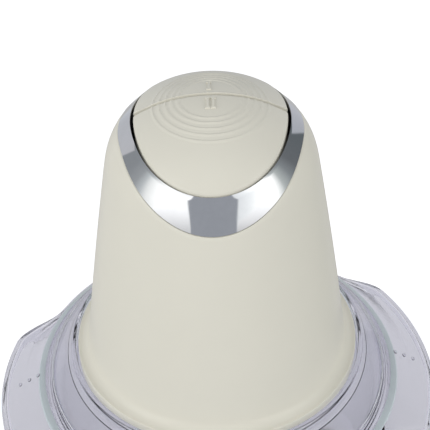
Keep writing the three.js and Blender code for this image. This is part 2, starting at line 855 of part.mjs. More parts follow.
// ---------- assembly ----------
makeAntiSlipBase();
makeBowl();
makeBladeHub();
makeBlade("blade_lower", hubFoot + 2, 56, 0);
makeBlade("blade_upper", hubFoot + 24, 54, Math.PI);
makeLid();
makeHousing();
makeRing();
makeBasePlate();
makeCordGland();
makeScrews();
makeButton(1, 1);
makeButton(2, -1);
makeSpring(1, 1);
makeSpring(2, -1);
makeSwitch(1, 1);
makeSwitch(2, -1);
makeSwitchDeck();
makeGears();
makeCarrier();
makeMotorPlate();
makeUpperBracket();
makeStator();
makeRotor();
makeBrushes();

export default part;
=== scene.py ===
import json
import math

import bmesh
import bpy
from mathutils import Matrix, Vector


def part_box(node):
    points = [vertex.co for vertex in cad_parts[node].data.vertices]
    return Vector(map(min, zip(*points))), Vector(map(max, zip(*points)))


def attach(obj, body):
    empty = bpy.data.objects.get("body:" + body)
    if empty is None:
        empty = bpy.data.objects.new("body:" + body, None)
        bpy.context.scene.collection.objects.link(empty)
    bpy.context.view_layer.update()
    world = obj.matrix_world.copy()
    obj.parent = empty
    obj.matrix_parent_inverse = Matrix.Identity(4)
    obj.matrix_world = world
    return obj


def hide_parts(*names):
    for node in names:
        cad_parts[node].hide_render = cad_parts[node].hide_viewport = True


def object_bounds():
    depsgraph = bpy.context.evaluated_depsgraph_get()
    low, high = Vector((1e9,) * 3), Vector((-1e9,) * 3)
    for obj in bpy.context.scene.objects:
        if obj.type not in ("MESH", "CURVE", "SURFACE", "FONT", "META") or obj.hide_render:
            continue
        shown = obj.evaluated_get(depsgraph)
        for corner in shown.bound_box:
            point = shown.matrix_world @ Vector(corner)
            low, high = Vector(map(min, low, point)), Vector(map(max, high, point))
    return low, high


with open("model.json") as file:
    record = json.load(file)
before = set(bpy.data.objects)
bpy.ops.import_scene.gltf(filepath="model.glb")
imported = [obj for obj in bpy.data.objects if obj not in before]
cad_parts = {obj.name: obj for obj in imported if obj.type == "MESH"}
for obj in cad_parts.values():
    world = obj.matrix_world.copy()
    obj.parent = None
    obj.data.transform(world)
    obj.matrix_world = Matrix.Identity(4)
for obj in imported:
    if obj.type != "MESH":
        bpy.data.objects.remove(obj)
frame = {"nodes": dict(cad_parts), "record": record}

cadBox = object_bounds()
scene = bpy.context.scene
scene.view_settings.view_transform = "Standard"
mm = 0.001
print("frame loaded:", len(frame["nodes"]), "CAD nodes")


# ---- shapes: everything is drawn in millimetres and scaled once, in makePiece ----

def nodeBox(node):
    low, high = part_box(node)
    return low / mm, high / mm


def mixed(a, b, t):
    return a + (b - a) * t


def smoothStep(t):
    t = min(1.0, max(0.0, t))
    return t * t * (3 - 2 * t)


# corners are (radius, height, roundness); no roundness leaves a corner sharp
def rounded(corners, loop=True, steps=5):
    points = []
    count = len(corners)
    for i, (x, z, soft) in enumerate(corners):
        here = Vector((x, z))
        if soft <= 0 or (not loop and i in (0, count - 1)):
            points.append(here)
            continue
        before = Vector(corners[i - 1][:2]) - here
        after = Vector(corners[(i + 1) % count][:2]) - here
        reach = min(soft, before.length * 0.48, after.length * 0.48)
        start = here + before.normalized() * reach
        end = here + after.normalized() * reach
        for k in range(steps + 1):
            t = k / steps
            points.append(start * (1 - t) ** 2 + here * 2 * t * (1 - t) + end * t * t)
    return points


# a closed body swept round Z: sectionAt(angle) gives points (radius, height)
def sweep(sectionAt, steps):
    verts, faces = [], []
    for i in range(steps):
        angle = 2 * math.pi * i / steps
        section = sectionAt(angle)
        count = len(section)
        verts += [(p[0] * math.cos(angle), p[0] * math.sin(angle), p[1]) for p in section]
        for j in range(count):
            k = (j + 1) % count
            nextRing = ((i + 1) % steps) * count
            faces.append((i * count + j, nextRing + j, nextRing + k, i * count + k))
    return verts, faces


def lathe(corners, steps=96, roundSteps=5):
    section = rounded(corners, True, roundSteps)
    return sweep(lambda angle: section, steps)


# rows of equal length, closed round each row and capped at both ends
def loft(rows):
    count = len(rows[0])
    verts = [point for row in rows for point in row]
    faces = [tuple(range(count - 1, -1, -1))]
    for i in range(len(rows) - 1):
        for j in range(count):
            k = (j + 1) % count
            faces.append((i * count + j, i * count + k, (i + 1) * count + k, (i + 1) * count + j))
    faces.append(tuple((len(rows) - 1) * count + j for j in range(count)))
    return verts, faces


def together(*shapes):
    verts, faces = [], []
    for shapeVerts, shapeFaces in shapes:
        base = len(verts)
        verts += list(shapeVerts)
        faces += [tuple(base + i for i in face) for face in shapeFaces]
    return verts, faces


def moved(shape, matrix):
    verts, faces = shape
    return [tuple(matrix @ Vector(v)) for v in verts], faces


def buildMesh(name, shape):
    verts, faces = shape
    mesh = bpy.data.meshes.new(name)
    bm = bmesh.new()
    corners = [bm.verts.new(Vector(v) * mm) for v in verts]
    for face in faces:
        bm.faces.new([corners[i] for i in face])
    bmesh.ops.remove_doubles(bm, verts=bm.verts, dist=1e-7)
    bmesh.ops.dissolve_degenerate(bm, edges=bm.edges, dist=1e-8)
    bmesh.ops.recalc_face_normals(bm, faces=bm.faces)
    bm.to_mesh(mesh)
    bm.free()
    return mesh


def smoothed(mesh, sharpAngle):
    mesh.polygons.foreach_set("use_smooth", [True] * len(mesh.polygons))
    mesh.set_sharp_from_angle(angle=math.radians(sharpAngle))
    mesh.update()


def makePiece(name, shape, body, nodes, slotName, sharpAngle=35, cutters=()):
    mesh = buildMesh(name, shape)
    piece = bpy.data.objects.new(name, mesh)
    scene.collection.objects.link(piece)
    for cutter in cutters:
        tool = bpy.data.objects.new(name + "_cutter", buildMesh(name + "_cutter", cutter))
        scene.collection.objects.link(tool)
        change = piece.modifiers.new("cut", "BOOLEAN")
        change.operation = "DIFFERENCE"
        change.solver = "EXACT"
        change.object = tool
        bpy.context.view_layer.update()
        graph = bpy.context.evaluated_depsgraph_get()
        result = bpy.data.meshes.new_from_object(piece.evaluated_get(graph))
        piece.modifiers.clear()
        piece.data = result
        bpy.data.objects.remove(tool)
    piece.data.name = name
    smoothed(piece.data, sharpAngle)
    piece.data.materials.clear()
    piece.data.materials.append(materials[slotName])
    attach(piece, body)
    if nodes:
        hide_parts(*nodes)
    return piece


# ---- shared effects, as node groups that put out values and colours only ----

def newGroup(name, inputs, outputs):
    group = bpy.data.node_groups.new(name, "ShaderNodeTree")
    for label, kind, value in inputs:
        socket = group.interface.new_socket(name=label, in_out="INPUT", socket_type=kind)
        socket.default_value = value
    for label, kind in outputs:
        group.interface.new_socket(name=label, in_out="OUTPUT", socket_type=kind)
    start = group.nodes.new("NodeGroupInput")
    end = group.nodes.new("NodeGroupOutput")
    return group, start, end


def addNode(tree, kind, **values):
    node = tree.nodes.new(kind)
    for key, value in values.items():
        if hasattr(node, key):
            setattr(node, key, value)
        else:
            node.inputs[key.replace("_", " ")].default_value = value
    return node


# each value is a number or another node's output
def mathNode(tree, operation, *values):
    node = tree.nodes.new("ShaderNodeMath")
    node.operation = operation
    for socket, value in zip(node.inputs, values):
        if isinstance(value, (int, float)):
            socket.default_value = value
        else:
            tree.links.new(value, socket)
    return node.outputs[0]


# haze: faint smears and finger marks, as a number from 0 to 1
def hazeGroup():
    group, start, end = newGroup(
        "surfaceHaze",
        [("Scale", "NodeSocketFloat", 40.0), ("Stretch", "NodeSocketFloat", 1.0)],
        [("Haze", "NodeSocketFloat")],
    )
    place = addNode(group, "ShaderNodeTexCoord")
    spread = addNode(group, "ShaderNodeCombineXYZ")
    spread.inputs[0].default_value = 1
    spread.inputs[1].default_value = 1
    group.links.new(start.outputs["Stretch"], spread.inputs[2])
    scaled = addNode(group, "ShaderNodeVectorMath", operation="MULTIPLY")
    group.links.new(place.outputs["Object"], scaled.inputs[0])
    group.links.new(spread.outputs[0], scaled.inputs[1])
    broad = addNode(group, "ShaderNodeTexNoise", Detail=3.0, Roughness=0.5)
    fine = addNode(group, "ShaderNodeTexNoise", Detail=3.0, Roughness=0.5)
    group.links.new(scaled.outputs[0], broad.inputs["Vector"])
    group.links.new(scaled.outputs[0], fine.inputs["Vector"])
    group.links.new(start.outputs["Scale"], broad.inputs["Scale"])
    group.links.new(mathNode(group, "MULTIPLY", start.outputs["Scale"], 9.0), fine.inputs["Scale"])
    both = mathNode(group, "MULTIPLY_ADD", fine.outputs["Fac"], 0.35, broad.outputs["Fac"])
    curve = addNode(group, "ShaderNodeMapRange", interpolation_type="SMOOTHERSTEP")
    curve.inputs["From Min"].default_value = 0.35
    curve.inputs["From Max"].default_value = 1.05
    group.links.new(both, curve.inputs["Value"])
    group.links.new(curve.outputs[0], end.inputs["Haze"])
    return group


# grain: a fine moulded or cast texture, as a height
def grainGroup():
    group, start, end = newGroup(
        "fineGrain",
        [("Scale", "NodeSocketFloat", 900.0), ("Waviness", "NodeSocketFloat", 0.3)],
        [("Height", "NodeSocketFloat")],
    )
    place = addNode(group, "ShaderNodeTexCoord")
    grain = addNode(group, "ShaderNodeTexNoise", Detail=2.0, Roughness=0.6)
    wave = addNode(group, "ShaderNodeTexNoise", Scale=28.0, Detail=1.0)
    for node in (grain, wave):
        group.links.new(place.outputs["Object"], node.inputs["Vector"])
    group.links.new(start.outputs["Scale"], grain.inputs["Scale"])
    slow = mathNode(group, "MULTIPLY", wave.outputs["Fac"], start.outputs["Waviness"])
    group.links.new(mathNode(group, "ADD", grain.outputs["Fac"], slow), end.inputs["Height"])
    return group


# wear: how much an outside edge is rubbed, from 0 to 1
def wearGroup():
    group, start, end = newGroup(
        "edgeWear",
        [("Start", "NodeSocketFloat", 0.54), ("Full", "NodeSocketFloat", 0.62)],
        [("Wear", "NodeSocketFloat")],
    )
    shape = addNode(group, "ShaderNodeNewGeometry")
    place = addNode(group, "ShaderNodeTexCoord")
    noise = addNode(group, "ShaderNodeTexNoise", Scale=160.0, Detail=4.0)
    group.links.new(place.outputs["Object"], noise.inputs["Vector"])
    curve = addNode(group, "ShaderNodeMapRange")
    group.links.new(shape.outputs["Pointiness"], curve.inputs["Value"])
    group.links.new(start.outputs["Start"], curve.inputs["From Min"])
    group.links.new(start.outputs["Full"], curve.inputs["From Max"])
    worn = mathNode(group, "MULTIPLY", curve.outputs[0], noise.outputs["Fac"])
    group.links.new(worn, end.inputs["Wear"])
    return group


# lines: brushed, wound or stacked lines across an axis, as a height
def linesGroup():
    group, start, end = newGroup(
        "fineLines",
        [("Scale", "NodeSocketFloat", 600.0), ("Along", "NodeSocketVector", (0.0, 0.0, 1.0)),
         ("Breakup", "NodeSocketFloat", 2.0)],
        [("Height", "NodeSocketFloat")],
    )
    place = addNode(group, "ShaderNodeTexCoord")
    turned = addNode(group, "ShaderNodeVectorMath", operation="MULTIPLY")
    group.links.new(place.outputs["Object"], turned.inputs[0])
    group.links.new(start.outputs["Along"], turned.inputs[1])
    lines = addNode(group, "ShaderNodeTexNoise", Detail=3.0, Roughness=0.65)
    group.links.new(turned.outputs[0], lines.inputs["Vector"])
    group.links.new(start.outputs["Scale"], lines.inputs["Scale"])
    group.links.new(start.outputs["Breakup"], lines.inputs["Distortion"])
    group.links.new(lines.outputs["Fac"], end.inputs["Height"])
    return group


groups = {"haze": hazeGroup(), "grain": grainGroup(), "wear": wearGroup(), "lines": linesGroup()}


def placeGroup(tree, name, **values):
    node = tree.nodes.new("ShaderNodeGroup")
    node.node_tree = groups[name]
    for key, value in values.items():
        node.inputs[key].default_value = value
    return node.outputs[0]


def between(tree, mask, low, high):
    node = addNode(tree, "ShaderNodeMapRange")
    tree.links.new(mask, node.inputs["Value"])
    node.inputs["To Min"].default_value = low
    node.inputs["To Max"].default_value = high
    return node.outputs[0]


# low and high are colours, or the outputs of other nodes
def blended(tree, mask, low, high):
    node = addNode(tree, "ShaderNodeMix", data_type="RGBA", clamp_factor=True)
    tree.links.new(mask, node.inputs["Factor"])
    for socket, color in ((node.inputs["A"], low), (node.inputs["B"], high)):
        if isinstance(color, bpy.types.NodeSocket):
            tree.links.new(color, socket)
        else:
            socket.default_value = (*color, 1)
    return node.outputs["Result"]


def newMaterial(name):
    material = bpy.data.materials.new(name)
    material.use_nodes = True
    tree = material.node_tree
    shader = tree.nodes["Principled BSDF"]
    return material, tree, shader


def bumped(tree, shader, height, strength, distance):
    bump = addNode(tree, "ShaderNodeBump", Strength=strength, Distance=distance)
    tree.links.new(height, bump.inputs["Height"])
    tree.links.new(bump.outputs["Normal"], shader.inputs["Normal"])


# a moulded plastic or rubber: haze on its gloss, grain in its skin, edges a little rubbed
def plasticMaterial(name, look):
    material, tree, shader = newMaterial(name)
    haze = placeGroup(tree, "haze", Scale=look.get("hazeScale", 30.0))
    wear = placeGroup(tree, "wear")
    tone = blended(tree, haze, look["color"], [c * look.get("shade", 0.94) for c in look["color"]])
    rubbed = mathNode(tree, "MULTIPLY", wear, look.get("edge", 0.15))
    worn = blended(tree, rubbed, tone, [min(1, c * 1.25 + 0.03) for c in look["color"]])
    tree.links.new(worn, shader.inputs["Base Color"])
    tree.links.new(between(tree, haze, *look["roughness"]), shader.inputs["Roughness"])
    grain = placeGroup(tree, "grain", Scale=look.get("grain", 900.0), Waviness=look.get("wavy", 0.3))
    bumped(tree, shader, grain, look.get("bump", 0.06), 0.0002)
    shader.inputs["Specular IOR Level"].default_value = look.get("specular", 0.5)
    shader.inputs["Coat Weight"].default_value = look.get("coat", 0.0)
    shader.inputs["Coat Roughness"].default_value = 0.06
    return material


def metalMaterial(name, look):
    material, tree, shader = newMaterial(name)
    haze = placeGroup(tree, "haze", Scale=look.get("hazeScale", 35.0))
    wear = placeGroup(tree, "wear")
    lines = placeGroup(tree, "lines", Scale=look["lineScale"], Along=look["along"],
                       Breakup=look.get("breakup", 0.4))
    tone = blended(tree, lines, look["color"], [c * look.get("shade", 0.8) for c in look["color"]])
    rubbed = mathNode(tree, "MULTIPLY", wear, look.get("edge", 0.4))
    worn = blended(tree, rubbed, tone, [min(1, c * 1.4 + 0.05) for c in look["color"]])
    tree.links.new(worn, shader.inputs["Base Color"])
    rough = mathNode(tree, "MULTIPLY_ADD", lines, look.get("lineRough", 0.1),
                     between(tree, haze, *look["roughness"]))
    tree.links.new(rough, shader.inputs["Roughness"])
    shader.inputs["Metallic"].default_value = look.get("metallic", 1.0)
    bumped(tree, shader, lines, look.get("bump", 0.08), 0.0001)
    return material


def chromeMaterial(look):
    material, tree, shader = newMaterial("chromePlate")
    haze = placeGroup(tree, "haze", Scale=look["hazeScale"])
    tree.links.new(blended(tree, haze, look["color"], look["smear"]), shader.inputs["Base Color"])
    tree.links.new(between(tree, haze, *look["roughness"]), shader.inputs["Roughness"])
    shader.inputs["Metallic"].default_value = 1.0
    grain = placeGroup(tree, "grain", Scale=500.0, Waviness=1.0)
    bumped(tree, shader, grain, look["bump"], 0.0001)
    return material


# clear plastic: nearly colourless face on, lavender, then violet where it is seen edge on
def clearMaterial(look):
    material, tree, shader = newMaterial("clearPlastic")
    facing = addNode(tree, "ShaderNodeLayerWeight", Blend=look["edgeWidth"])
    ramp = addNode(tree, "ShaderNodeValToRGB")
    stops = ramp.color_ramp.elements
    stops[0].position, stops[0].color = 0.0, (*look["face"], 1)
    stops[1].position, stops[1].color = 1.0, (*look["edge"], 1)
    middle = stops.new(look["middleAt"])
    middle.color = (*look["middle"], 1)
    tree.links.new(facing.outputs["Facing"], ramp.inputs["Fac"])
    tree.links.new(ramp.outputs["Color"], shader.inputs["Base Color"])
    haze = placeGroup(tree, "haze", Scale=look["hazeScale"])
    tree.links.new(between(tree, haze, *look["roughness"]), shader.inputs["Roughness"])
    shader.inputs["Transmission Weight"].default_value = 1.0
    shader.inputs["IOR"].default_value = look["ior"]
    grain = placeGroup(tree, "grain", Scale=120.0, Waviness=1.0)
    bumped(tree, shader, grain, look["bump"], 0.0002)
    # lamps and soft light pass straight through, so that what is inside is lit
    paths = addNode(tree, "ShaderNodeLightPath")
    passing = mathNode(tree, "MAXIMUM", paths.outputs["Is Shadow Ray"], paths.outputs["Is Diffuse Ray"])
    passThrough = addNode(tree, "ShaderNodeBsdfTransparent")
    passThrough.inputs["Color"].default_value = (*look["shadow"], 1)
    choice = addNode(tree, "ShaderNodeMixShader")
    tree.links.new(passing, choice.inputs["Fac"])
    tree.links.new(shader.outputs["BSDF"], choice.inputs[1])
    tree.links.new(passThrough.outputs["BSDF"], choice.inputs[2])
    tree.links.new(choice.outputs["Shader"], tree.nodes["Material Output"].inputs["Surface"])
    return material


clearLook = {
    "face": (0.9, 0.9, 0.93), "middle": (0.84, 0.84, 0.9), "edge": (0.22, 0.18, 0.72),
    "middleAt": 0.62, "edgeWidth": 0.3, "ior": 1.36, "shadow": (0.9, 0.9, 0.92),
    "hazeScale": 25.0, "roughness": (0.04, 0.12), "bump": 0.006,
}
materials = {
    "cream_plastic": plasticMaterial("creamGloss", {
        "color": (0.76, 0.735, 0.635), "roughness": (0.3, 0.36), "shade": 0.98, "edge": 0.06,
        "bump": 0.008, "wavy": 0.6, "coat": 0.08, "specular": 0.5, "hazeScale": 14.0}),
    "chrome": chromeMaterial({
        "color": (0.86, 0.87, 0.89), "smear": (0.8, 0.81, 0.83), "hazeScale": 45.0,
        "roughness": (0.03, 0.1), "bump": 0.006}),
    "clear_plastic": clearMaterial(clearLook),
    "base_rubber": plasticMaterial("baseRubber", {
        "color": (0.62, 0.61, 0.57), "roughness": (0.62, 0.85), "shade": 0.85, "bump": 0.35,
        "grain": 1400.0, "edge": 0.3, "specular": 0.3}),
    "seal_rubber": plasticMaterial("sealSilicone", {
        "color": (0.66, 0.75, 0.7), "roughness": (0.35, 0.5), "bump": 0.1, "specular": 0.4}),
    "steel": metalMaterial("brushedSteel", {
        "color": (0.62, 0.63, 0.65), "roughness": (0.16, 0.3), "lineScale": 900.0,
        "along": (1.0, 0.12, 1.0), "bump": 0.12}),
    "screw_steel": metalMaterial("zincScrew", {
        "color": (0.52, 0.52, 0.54), "roughness": (0.3, 0.5), "lineScale": 500.0,
        "along": (1.0, 1.0, 1.0), "breakup": 2.0}),
    "black_plastic": plasticMaterial("blackPlastic", {
        "color": (0.02, 0.02, 0.022), "roughness": (0.4, 0.6), "bump": 0.15, "edge": 0.4}),
    "grey_plastic": plasticMaterial("greyPlastic", {
        "color": (0.4, 0.4, 0.41), "roughness": (0.42, 0.6), "bump": 0.15, "shade": 0.88}),
    "white_plastic": plasticMaterial("whiteNylon", {
        "color": (0.74, 0.74, 0.71), "roughness": (0.3, 0.5), "bump": 0.1, "shade": 0.92}),
    "lamination_steel": metalMaterial("laminationSteel", {
        "color": (0.2, 0.205, 0.215), "roughness": (0.4, 0.6), "lineScale": 1800.0,
        "along": (0.0, 0.0, 1.0), "breakup": 0.0, "shade": 0.45, "bump": 0.5, "metallic": 0.8}),
    "copper": metalMaterial("enamelledCopper", {
        "color": (0.6, 0.24, 0.09), "roughness": (0.22, 0.4), "lineScale": 1500.0,
        "along": (1.0, 1.0, 0.05), "shade": 0.5, "bump": 0.5}),
    "bronze": metalMaterial("sinteredBronze", {
        "color": (0.5, 0.36, 0.17), "roughness": (0.4, 0.6), "lineScale": 1200.0,
        "along": (1.0, 1.0, 1.0), "breakup": 3.0, "bump": 0.3}),
    "carbon": plasticMaterial("carbonBrush", {
        "color": (0.03, 0.03, 0.032), "roughness": (0.6, 0.8), "bump": 0.3, "edge": 0.5}),
}
for part in frame["record"]["subparts"]:
    node = frame["nodes"][part["node"]]
    if not node.data.materials:
        node.data.materials.append(None)
    for holder in node.material_slots:
        holder.material = materials[part["material_slot"]]
print("materials made:", len(materials))


# ---- motor unit: housing, chrome ring, bezel and buttons share one outline ----

outline = {
    "flangeTop": nodeBox("housing")[0].z + 5.5,
    "flangeRadius": nodeBox("housing")[1].x,
    "foot": 51.1, "waist": 45.3, "shoulder": 38.8,  # radii at the foot, halfway and the shoulder
    "shoulderHeight": 85.0, "crownHeight": 30.5,
    "cove": 4.0, "wall": 2.6, "rows": 44,
    "lip": 0.35,  # rounding of the edge that meets the ring
}
flangeTop = outline["flangeTop"]


def radiusAt(height):
    foot, waist, shoulder = outline["foot"], outline["waist"], outline["shoulder"]
    if height <= outline["shoulderHeight"]:
        t = height / outline["shoulderHeight"]
        return foot * (1 - t) * (1 - 2 * t) + 4 * waist * t * (1 - t) + shoulder * t * (2 * t - 1)
    slope = (foot - 4 * waist + 3 * shoulder) / outline["shoulderHeight"]
    crown = outline["crownHeight"]
    u = min(1.0, (height - outline["shoulderHeight"]) / crown)
    return shoulder * math.sqrt(1 - u * u) + slope * crown * u * (1 - u) ** 4


def crownAt(radius):
    share = max(0.0, 1 - (radius / outline["shoulder"]) ** 2)
    return outline["shoulderHeight"] + outline["crownHeight"] * math.sqrt(share)


# an edge of the ring: its height at the sides, and how far it dips at the front and the back
ringEdges = {
    "foot": {"side": 101.1, "front": 16.6, "power": 3.0, "back": 4.8},
    "top": {"side": 106.1, "front": 7.5, "power": 2.7, "back": 3.8},
}


def dipped(edge, angle):
    s = -math.sin(angle)
    dip = edge["front"] * s ** edge["power"] if s > 0 else edge["back"] * s * s
    return edge["side"] - dip


def ringFoot(angle):
    return dipped(ringEdges["foot"], angle)


def ringTop(angle):
    return dipped(ringEdges["top"], angle)


def raised(points):
    return [Vector((p[0], p[1] + flangeTop)) for p in points]


def housingSection(angle):
    wall, cove = outline["wall"], outline["cove"]
    top = ringFoot(angle)
    reach = outline["flangeRadius"]
    coveRadius = radiusAt(cove) + cove
    foot = rounded([(reach - wall, -5.5, 0.4), (reach, -5.5, 0.5), (reach, 0.0, 0.9),
                    (coveRadius, 0.0, 0.0)], False, 4)
    foot = [Vector((reach - wall, -5.5))] + foot[1:]
    for i in range(1, 9):
        turn = math.pi / 2 * (1 + i / 8)
        foot.append(Vector((coveRadius + cove * math.cos(turn), cove - cove * math.sin(turn))))
    rise = outline["rows"]
    for i in range(1, rise + 1):
        height = mixed(cove, top - outline["lip"], i / rise)
        foot.append(Vector((radiusAt(height), height)))
    foot.append(Vector((radiusAt(top) - 0.12, top - 0.08)))
    foot.append(Vector((radiusAt(top) - 0.4, top)))
    for i in range(12, -1, -1):
        height = mixed(cove, top - 0.5, i / 12)
        foot.append(Vector((radiusAt(height) - wall, height)))
    foot += [Vector((radiusAt(cove) - wall, -1.8)), Vector((reach - wall, -1.8))]
    return raised(foot)


# a slot with round ends, cut through the back of the housing
def slotCutter(x, width, low, high):
    rows = []
    for y in (30.0, 62.0):
        row = []
        for i in range(24):
            turn = 2 * math.pi * i / 24
            end = high - width / 2 if math.sin(turn) >= 0 else low + width / 2
            row.append((x + width / 2 * math.cos(turn), y, end + width / 2 * math.sin(turn)))
        rows.append(row)
    return loft(rows)


back = {"slotWidth": 2.4, "slotPitch": 5.4, "slots": 5, "slotFoot": 26.0, "slotTop": 46.0,
        "glandHeight": 13.0, "glandRadius": 5.8}


def makeHousing():
    cutters = []
    for i in range(back["slots"]):
        x = (i - (back["slots"] - 1) / 2) * back["slotPitch"]
        cutters.append(slotCutter(x, back["slotWidth"], flangeTop + back["slotFoot"],
                                  flangeTop + back["slotTop"]))
    radius = back["glandRadius"]
    middle = flangeTop + back["glandHeight"]
    cutters.append(slotCutter(0, 2 * radius, middle - radius, middle + radius))
    makePiece("housing_shell", sweep(housingSection, 192), "motor_unit", ["housing"],
              "cream_plastic", 32, cutters)


ring = {"gap": 0.3, "bulge": 0.4, "bevel": 0.45, "lip": 0.35, "thickness": 1.4, "steps": 16,
        "linerWidth": 1.5, "linerFoot": 86.3}


def ringSection(angle):
    foot, top = ringFoot(angle) + ring["gap"], ringTop(angle)
    outer, inner = radiusAt(foot), radiusAt(top)
    bulge = ring["bulge"] * (radiusAt((foot + top) / 2) - (outer + inner) / 2)
    points = [(outer - ring["thickness"], foot), (outer - 0.3, foot)]
    steps, bevel = ring["steps"], ring["bevel"]
    for i in range(steps + 1):
        t = i / steps * (1 - bevel / (outer - inner))
        swell = bulge * 4 * t * (1 - t)
        points.append((mixed(outer, inner, t) + swell, mixed(foot + 0.12, top, t)))
    points += [(inner + bevel * 0.3, top - 0.04), (inner, top - ring["lip"]), (inner, top - 1.6)]
    return raised(points)


# the bezel, as a black band just inside the ring's top edge; its black is painted shade for the dark gap
# between the ring and the buttons
def bezelSection(angle):
    foot, top = ringFoot(angle) + ring["gap"], ringTop(angle)
    outer, inner = radiusAt(foot) - ring["thickness"], radiusAt(top) - 0.3
    width, low = ring["linerWidth"], ring["linerFoot"]
    slope = (foot - (top - 1.6)) / (outer - inner)
    return raised([(inner, low), (inner + width, low), (inner + width, top - 2.5 + slope * width),
                   (inner, top - 2.5)])


def makeRing():
    makePiece("chrome_band", sweep(ringSection, 256), "motor_unit", ["chrome_ring"], "chrome", 30)
    # black band in the gap between ring and buttons: painted shade
    makePiece("gap_painted_shade", sweep(bezelSection, 160), "motor_unit", ["button_bezel"],
              "black_plastic", 30)


button = {
    "split": 1.5, "gap": 0.85, "wall": 2.2, "skirt": 6.5, "edge": 0.55,
    "ridges": (11.2, 13.3, 15.6, 17.9, 20.2), "ridgeCentre": 0.3, "ridgeHeight": 0.32,
    "ridgeWidth": 0.55, "lip": 0.3, "lipWidth": 1.1, "sink": 0.45,
    "inset": 1.8, "rays": 150, "rows": 120,
    "proud": {1: 0.35, -1: -0.2},  # how far each half stands out beside the ring
}


def buttonRim(angle):
    return radiusAt(ringTop(angle)) - 0.5 - 0.55 * math.cos(angle) ** 2


# how far a rounded edge falls away, this far in from it
def edgeDrop(away):
    soft = button["edge"]
    if away >= soft:
        return 0.0
    return soft - math.sqrt(max(0.0, soft * soft - (soft - away) ** 2))


# height of the button's skin: the crown, with the raised rings and a soft edge at the split
def skinAt(x, y, side):
    radius = math.hypot(x, y)
    height = crownAt(radius) + mixed(-button["sink"], button["proud"][side], smoothStep((radius - 21) / 8))
    reach = math.hypot(x, y - button["ridgeCentre"])
    for ridge in button["ridges"]:
        off = abs(reach - ridge) / button["ridgeWidth"]
        if off < 1:
            height += button["ridgeHeight"] * (0.5 + 0.5 * math.cos(math.pi * off))
    edgeAway = abs(y - button["split"]) - button["gap"] / 2
    height -= edgeDrop(edgeAway)
    if side > 0:
        height += button["lip"] * (1 - smoothStep(edgeAway / button["lipWidth"]))
    return height


# one half of the cap, as a skin over a grid of rays and rows, closed by its underside
def capShape(side):
    rays, rows = button["rays"], button["rows"]
    edge = button["split"] + side * button["gap"] / 2
    top, under = [], []
    for i in range(rays + 1):
        turn = math.pi * i / rays
        direction = turn if side > 0 else turn + math.pi
        rim = buttonRim(direction)
        end = Vector((rim * math.cos(direction), rim * math.sin(direction)))
        if (end.y - edge) * side < 0:
            reach = math.sqrt(max(0.0, buttonRim(0) ** 2 - edge * edge))
            end = Vector((math.copysign(reach, end.x), edge))
        start = Vector((end.x * 0.999, edge))
        line, lower = [], []
        for j in range(rows + 1):
            t = j / rows
            x = mixed(start.x, end.x, t)
            y = mixed(start.y, end.y, t)
            height = skinAt(x, y, side) - edgeDrop(max(0.0, rim - math.hypot(x, y)))
            line.append((x, y, height + flangeTop))
            inset = mixed(1.0, 1 - button["inset"] / rim, t)
            lower.append((x * inset, edge + (y - edge) * inset,
                          crownAt(math.hypot(x, y)) - button["wall"] + flangeTop))
        skirt = crownAt(rim) - button["skirt"] + flangeTop
        line.append((end.x, end.y, skirt))
        lower.append((lower[-1][0], lower[-1][1], skirt))
        top.append(line)
        under.append(lower)
    count = rows + 2
    verts = [p for line in top for p in line] + [p for line in under for p in line]
    base = (rays + 1) * count
    faces = []
    for i in range(rays):
        for j in range(count - 1):
            a = i * count + j
            b = (i + 1) * count + j
            faces.append((a, b, b + 1, a + 1))
            faces.append((base + a, base + a + 1, base + b + 1, base + b))
        a, b = i * count, (i + 1) * count
        faces.append((a, base + a, base + b, b))
        a, b = a + count - 1, b + count - 1
        faces.append((a, b, base + b, base + a))
    for i in (0, rays):
        for j in range(count - 1):
            a = i * count + j
            faces.append((a, a + 1, base + a + 1, base + a))
    return verts, faces


numeral = {"height": 5.8, "stem": 0.46, "serif": 0.95, "rise": 0.45, "rows": 36, "pitch": 1.95,
           "places": {1: (-0.3, 6.8), 2: (0.1, -3.7)}}


# one serifed upright of a numeral, standing on the crown
def uprightShape(x, y):
    rows = []
    count = numeral["rows"]
    for i in range(count + 1):
        v = (i / count - 0.5) * numeral["height"]
        share = abs(v) / (numeral["height"] / 2)
        width = mixed(numeral["stem"], numeral["serif"], smoothStep((share - 0.72) / 0.1))
        ends = 0.0 if i in (0, count) else numeral["rise"]
        row = []
        for u, rise in ((-width, -0.3), (-width * 0.86, ends), (0.0, ends), (width * 0.86, ends),
                        (width, -0.3), (0.0, -0.5)):
            px, py = x + u, y + v
            row.append((px, py, flangeTop + crownAt(math.hypot(px, py)) - button["sink"] + rise))
        rows.append(row)
    return loft(rows)


# the stem that presses the switch, and a rib beside it
def stemShape(side):
    y = side * 13.0
    lift = Matrix.Translation((0, y, 0))
    top = crownAt(17.4) - 1.0
    stem = lathe([(0, 79, 0), (2.4, 79, 0.3), (2.4, 100, 0), (4.4, 100, 0.3), (4.4, top, 0),
                  (0, top, 0)], 32)
    return moved(stem, Matrix.Translation((0, 0, flangeTop)) @ lift)


def ribShape(side):
    low, high = 98.6, crownAt(20.5) - 0.8
    x, y = 14.0, side * 14.0
    ring = [(x - 1, y - 1), (x + 1, y - 1), (x + 1, y + 1), (x - 1, y + 1)]
    return loft([[(u, v, flangeTop + h) for u, v in ring] for h in (low, high)])


def makeButtons():
    for number, side in ((1, 1), (2, -1)):
        body = f"button_{number}"
        shape = together(capShape(side), stemShape(side), ribShape(side))
        makePiece(f"button_cap_{number}", shape, body, [body], "cream_plastic", 50)
        x, y = numeral["places"][number]
        for i in range(number):
            offset = (i - (number - 1) / 2) * numeral["pitch"]
            makePiece(f"numeral_{number}_{i + 1}", uprightShape(x + offset, y), body, [],
                      "cream_plastic", 40)


